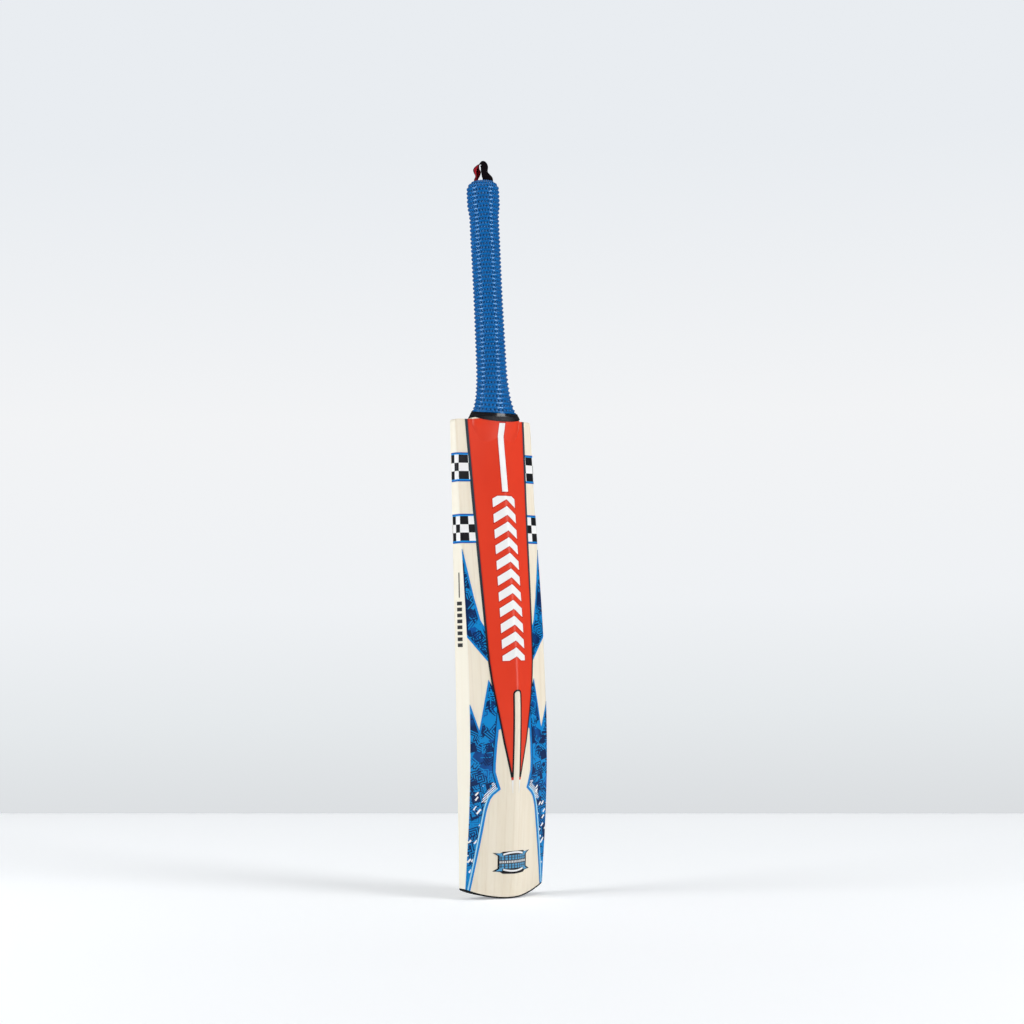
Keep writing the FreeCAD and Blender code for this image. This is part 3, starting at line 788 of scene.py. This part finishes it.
def make_hang_loop():
    """A woven ribbon that comes out of the hole in the butt, turns over and goes back in."""
    centres = smooth_path([Vector(place) * MM for place, _ in LOOP_ROUTE], RIBBON_STEPS)
    widths = smooth_path([Vector(width) for _, width in LOOP_ROUTE], RIBBON_STEPS)
    steps = [2 * n / RIBBON_ACROSS - 1 for n in range(RIBBON_ACROSS + 1)]
    section = [(u, 1.0) for u in steps] + [(-u, -1.0) for u in steps]
    turn = Matrix.Rotation(-LOOP_TURN, 3, "Z")
    points, across, inner, along = [], [], [], []
    travelled = 0.0
    for n, (centre, width) in enumerate(zip(centres, widths)):
        ahead = centres[min(n + 1, len(centres) - 1)] - centres[max(n - 1, 0)]
        ahead.normalize()
        if n:
            travelled += (centre - centres[n - 1]).length
        side = (width - ahead * width.dot(ahead)).normalized()
        out = side.cross(ahead)
        for u, face in section:
            half_thickness = RIBBON_THICKNESS / 2 * (1.0 - RIBBON_THINNING * abs(u) ** 4)
            lift = face * half_thickness - RIBBON_CURL * u * u
            place = centre + side * (u * RIBBON_WIDTH / 2) + out * lift
            points.append(handle_point(*(turn @ place)))
            across.append(u)
            inner.append(1.0 if face < 0 else 0.0)
            along.append(travelled / MM)
    count = len(section)
    rows = len(centres)
    faces = ring_faces(rows, count, closed=False)
    faces.append(tuple(reversed(range(count))))
    faces.append(tuple(range((rows - 1) * count, rows * count)))
    piece = new_mesh("woven_hang_loop", points, faces, loop_ribbon())
    write_attribute(piece.data, "across", across)
    write_attribute(piece.data, "inner", inner)
    write_attribute(piece.data, "along", along)
    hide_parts("hang_loop")


def finish_cad_nodes():
    """Gives every CAD node that stays in view its own finish."""
    finishes = {
        "willow_blade": willow(),
        "toe_guard": toe_rubber(),
        "collar_tape": collar_tape(),
        "spine_label": spine_vinyl(),
        "toe_badge": badge_vinyl(),
        "edge_marks": edge_print(),
    }
    shared = {"cane_strip": cane(), "rubber_spring": spring_rubber(), "twine_binding": twine()}
    for level in ("upper", "lower"):
        shared["chequer_band_" + level] = band_vinyl(level)
        shared["flank_label_" + level] = flank_vinyl(level)
    for name, node in NODES.items():
        for start, material in shared.items():
            if name.startswith(start):
                finishes[name] = material
        if name in finishes:
            node.data.materials.clear()
            node.data.materials.append(finishes[name])


# ---- Camera, floor, backdrop and light -------------------------------------------------
CAMERA_PLACE = Vector((-1.2041, -1.7927, 0.2968))
CAMERA_TURN = math.radians(34.354)
CAMERA_PITCH = math.radians(3.979)
CAMERA_ROLL = math.radians(-1.261)
CAMERA_LENS = 64.70
FLOOR_EDGE = 1.03          # how far behind the bat the floor ends
FLOOR_DROP = 0.25 * MM
FLOOR_REACH = 12.0
FLOOR_GLOW = (-400.0, 900.0, 0.245, 0.46)    # millimetres along the view, and the glow there


def make_camera():
    forward = Vector((math.sin(CAMERA_TURN) * math.cos(CAMERA_PITCH),
                      math.cos(CAMERA_TURN) * math.cos(CAMERA_PITCH), math.sin(CAMERA_PITCH)))
    level_right = Vector((math.cos(CAMERA_TURN), -math.sin(CAMERA_TURN), 0))
    level_up = level_right.cross(forward)
    right = level_right * math.cos(CAMERA_ROLL) + level_up * math.sin(CAMERA_ROLL)
    up = level_up * math.cos(CAMERA_ROLL) - level_right * math.sin(CAMERA_ROLL)
    data = bpy.data.cameras.new("camera")
    data.lens = CAMERA_LENS
    data.sensor_width = 36.0
    data.clip_start = 0.01
    camera = bpy.data.objects.new("camera", data)
    turn = Matrix((right, up, -forward)).transposed().to_4x4()
    camera.matrix_world = Matrix.Translation(CAMERA_PLACE) @ turn
    bpy.context.scene.collection.objects.link(camera)
    bpy.context.scene.camera = camera
    return right


def floor_material():
    """Matt white, with a little light of its own, as on a lit table."""
    surface = Surface("floor", roughness=0.9, specular=0.1)
    tone = surface.noise((1.2, 1.2, 1.2), detail=2.0)
    surface.paint(surface.blend(tone, (0.86, 0.88, 0.90), (0.88, 0.90, 0.92)))
    surface.shader.inputs["Emission Color"].default_value = (0.96, 0.98, 1.0, 1.0)
    seen = Field(surface.tree, surface.tree.nodes.new("ShaderNodeLightPath").outputs["Is Camera Ray"])
    away = surface.x * math.sin(CAMERA_TURN) + surface.y * math.cos(CAMERA_TURN)
    near, far, near_glow, far_glow = FLOOR_GLOW
    glow = away.spread(near, far) * (far_glow - near_glow) + near_glow
    feed(surface.tree, seen * glow, surface.shader.inputs["Emission Strength"])
    return surface.material


def make_stage(right):
    """A pale floor that ends in a straight line behind the bat, in front of the studio's far wall."""
    normal = (Vector((0, 0, 1)) - right * right.z).normalized()
    away = normal.cross(right)
    centre = Vector((0, 0, 0)) - normal * FLOOR_DROP
    near, far = centre - away * FLOOR_REACH, centre + away * FLOOR_EDGE
    beside = right * FLOOR_REACH
    corners = [near - beside, near + beside, far + beside, far - beside]
    mesh = bpy.data.meshes.new("floor")
    mesh.from_pydata([tuple(corner) for corner in corners], [], [(0, 1, 2, 3)])
    mesh.materials.append(floor_material())
    floor = bpy.data.objects.new("floor", mesh)
    bpy.context.scene.collection.objects.link(floor)


def soft_box(name, place, target, width, height, power):
    data = bpy.data.lights.new(name, "AREA")
    data.shape = "RECTANGLE"
    data.size = width
    data.size_y = height
    data.energy = power
    light = bpy.data.objects.new(name, data)
    light.location = place
    light.rotation_euler = (Vector(target) - Vector(place)).to_track_quat("-Z", "Y").to_euler()
    bpy.context.scene.collection.objects.link(light)


# the studio's wall: upward part of the direction looked in, and the colour there
WALL_TONES = ((-0.10, (0.70, 0.72, 0.74)), (-0.04, (0.79, 0.82, 0.84)), (0.02, (0.865, 0.885, 0.91)),
              (0.12, (0.89, 0.90, 0.915)), (0.26, (0.815, 0.845, 0.88)))
ROOM_LIGHT = 0.10          # what the dim room gives, against the bright wall that is seen


def make_world():
    """A pale wall all round to look at, which gives little light itself."""
    world = bpy.data.worlds.new("studio")
    bpy.context.scene.world = world
    world.use_nodes = True
    tree = world.node_tree
    background = tree.nodes["Background"]
    place = tree.nodes.new("ShaderNodeTexCoord")
    split = tree.nodes.new("ShaderNodeSeparateXYZ")
    feed(tree, place.outputs["Generated"], split.inputs[0])
    low, high = WALL_TONES[0][0], WALL_TONES[-1][0]
    ramp = tree.nodes.new("ShaderNodeValToRGB")
    feed(tree, Field(tree, split.outputs[2]).spread(low, high), ramp.inputs[0])
    stops = ramp.color_ramp.elements
    while len(stops) < len(WALL_TONES):
        stops.new(1.0)
    for stop, (upward, colour) in zip(stops, WALL_TONES):
        stop.position = (upward - low) / (high - low)
        stop.color = colour + (1.0,)
    feed(tree, ramp.outputs[0], background.inputs["Color"])
    seen = Field(tree, tree.nodes.new("ShaderNodeLightPath").outputs["Is Camera Ray"])
    feed(tree, seen * (1.0 - ROOM_LIGHT) + ROOM_LIGHT, background.inputs["Strength"])


def make_lights():
    """Two tall soft boxes, left and right of the camera, and a wide one overhead."""
    middle = (0, 0, 0.45)
    soft_box("left_soft_box", (-1.97, 0.35, 0.85), middle, 1.0, 1.9, 38.0)
    soft_box("right_soft_box", (1.11, -2.18, 0.95), middle, 1.0, 1.9, 51.0)
    soft_box("overhead_soft_box", (0.0, -0.1, 2.6), middle, 2.4, 2.4, 15.0)
    bpy.context.scene.view_settings.view_transform = "Standard"


finish_cad_nodes()
make_grip()
make_hang_loop()
make_stage(make_camera())
make_world()
make_lights()
